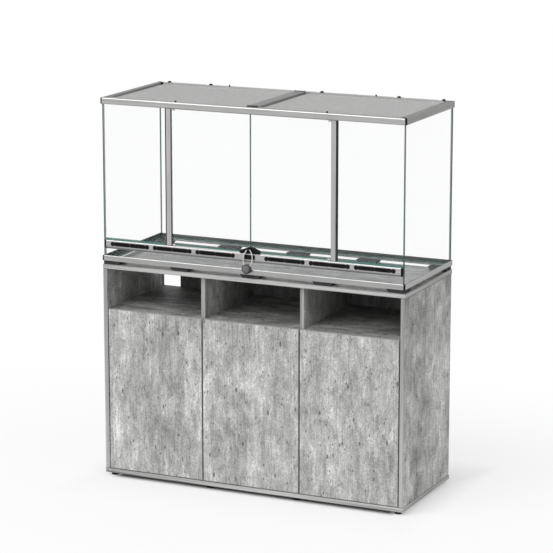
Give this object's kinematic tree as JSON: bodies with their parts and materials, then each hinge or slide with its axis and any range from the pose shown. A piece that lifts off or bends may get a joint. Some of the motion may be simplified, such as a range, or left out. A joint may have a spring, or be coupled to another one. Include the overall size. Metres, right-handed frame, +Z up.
{
  "type": "terrarium cabinet",
  "caption": "Glass terrarium in an aluminium frame with hinged front doors, mesh lids, vent strips and a cable lock, on a cabinet with open niches above push-open doors",
  "frame": {"origin": "on the floor under the centre of the cabinet's footprint", "axes": "+X to the right seen from the front, +Y to the back, +Z up"},
  "size_m": [1.2, 0.476, 1.4345],
  "materials": {
    "concrete_board": "matte concrete-look facing on chipboard",
    "back_board": "matte grey facing on thin board",
    "black_plastic": "satin black",
    "black_rubber": "matte black",
    "hinge_steel": "nickel-plated, satin",
    "profile_aluminium": "satin anodised, brushed lengthwise",
    "mesh_steel": "fine bright mesh",
    "clear_glass": "polished, green at the edges",
    "cable_sleeve": "clear sleeve on wire rope",
    "lock_metal": "dark grey satin"
  },
  "bodies": {
    "carcass": {"bottom_board": "concrete_board", "top_board": "concrete_board", "side_panel_left": "concrete_board", "side_panel_right": "concrete_board", "divider_left": "concrete_board", "divider_right": "concrete_board", "niche_shelves": "concrete_board", "back_panel": "back_board", "cabinet_feet": "black_plastic", "hinge_arms": "hinge_steel", "latch_housings": "black_plastic", "tank_pads": "black_rubber", "base_rail_front": "profile_aluminium", "base_rail_back": "profile_aluminium", "base_rail_left": "profile_aluminium", "base_rail_right": "profile_aluminium", "base_frame_corners": "black_plastic", "base_pane": "clear_glass", "back_pane": "clear_glass", "side_pane_left": "clear_glass", "side_pane_right": "clear_glass", "lower_front_pane": "clear_glass", "vent_profile": "profile_aluminium", "vent_profile_caps": "black_plastic", "vent_inserts": "black_plastic", "blank_plate": "black_plastic", "fixed_pane_left": "clear_glass", "fixed_pane_right": "clear_glass", "upright_left": "profile_aluminium", "upright_right": "profile_aluminium", "upright_gaskets": "black_rubber", "pivot_bearings": "black_plastic", "top_rail_front": "profile_aluminium", "top_rail_back": "profile_aluminium", "top_rail_left": "profile_aluminium", "top_rail_right": "profile_aluminium", "crossbar": "profile_aluminium", "top_frame_corners": "black_plastic", "rail_buttons": "black_plastic", "cable_grommets": "black_plastic", "crossbar_plates": "black_plastic"},
    "cabinet_door_left": {"cabinet_door_left": "concrete_board", "hinge_cups_left": "hinge_steel"},
    "latch_plunger_left": {"latch_plunger_left": "black_plastic"},
    "cabinet_door_middle": {"cabinet_door_middle": "concrete_board", "hinge_cups_middle": "hinge_steel"},
    "latch_plunger_middle": {"latch_plunger_middle": "black_plastic"},
    "cabinet_door_right": {"cabinet_door_right": "concrete_board", "hinge_cups_right": "hinge_steel"},
    "latch_plunger_right": {"latch_plunger_right": "black_plastic"},
    "glass_door_left": {"glass_door_left": "clear_glass", "door_pivots_left": "hinge_steel", "corner_handle_left": "black_plastic"},
    "mesh_lid_left": {"mesh_lid_left": "mesh_steel"},
    "glass_door_right": {"glass_door_right": "clear_glass", "door_pivots_right": "hinge_steel", "corner_handle_right": "black_plastic"},
    "mesh_lid_right": {"mesh_lid_right": "mesh_steel"},
    "cable_lock": {"lock_cable": "cable_sleeve", "lock_body": "lock_metal"}
  },
  "joints": [
    {"name": "cabinet_door_left_hinge", "type": "hinge", "parent": "carcass", "child": "cabinet_door_left", "pos_m": [-0.5815, -0.2265, 0.3355], "axis": [0, 0, -1], "range_deg": [0, 95]},
    {"name": "cabinet_door_middle_hinge", "type": "hinge", "parent": "carcass", "child": "cabinet_door_middle", "pos_m": [-0.194, -0.2265, 0.3355], "axis": [0, 0, -1], "range_deg": [0, 95]},
    {"name": "cabinet_door_right_hinge", "type": "hinge", "parent": "carcass", "child": "cabinet_door_right", "pos_m": [0.5815, -0.2265, 0.3355], "axis": [0, 0, 1], "range_deg": [0, 95]},
    {"name": "glass_door_left_pivot", "type": "hinge", "parent": "carcass", "child": "glass_door_left", "pos_m": [-0.309, -0.2215, 1.154], "axis": [0, 0, -1], "range_deg": [0, 95]},
    {"name": "glass_door_right_pivot", "type": "hinge", "parent": "carcass", "child": "glass_door_right", "pos_m": [0.309, -0.2215, 1.154], "axis": [0, 0, 1], "range_deg": [0, 95]},
    {"name": "mesh_lid_left_lift", "type": "slide", "parent": "carcass", "child": "mesh_lid_left", "axis": [0, 0, 1], "range_m": [0, 0.06]},
    {"name": "mesh_lid_right_lift", "type": "slide", "parent": "carcass", "child": "mesh_lid_right", "axis": [0, 0, 1], "range_m": [0, 0.06]},
    {"name": "latch_plunger_left_push", "type": "slide", "parent": "carcass", "child": "latch_plunger_left", "axis": [0, 1, 0], "range_m": [0, 0.003], "stiffness_N_per_m": 400, "springref_m": -0.004},
    {"name": "latch_plunger_middle_push", "type": "slide", "parent": "carcass", "child": "latch_plunger_middle", "axis": [0, 1, 0], "range_m": [0, 0.003], "stiffness_N_per_m": 400, "springref_m": -0.004},
    {"name": "latch_plunger_right_push", "type": "slide", "parent": "carcass", "child": "latch_plunger_right", "axis": [0, 1, 0], "range_m": [0, 0.003], "stiffness_N_per_m": 400, "springref_m": -0.004},
    {"name": "cable_lock_swing", "type": "hinge", "parent": "glass_door_left", "child": "cable_lock", "pos_m": [0, -0.24, 0.918], "axis": [-1, 0, 0], "range_deg": [0, 75]}
  ]
}
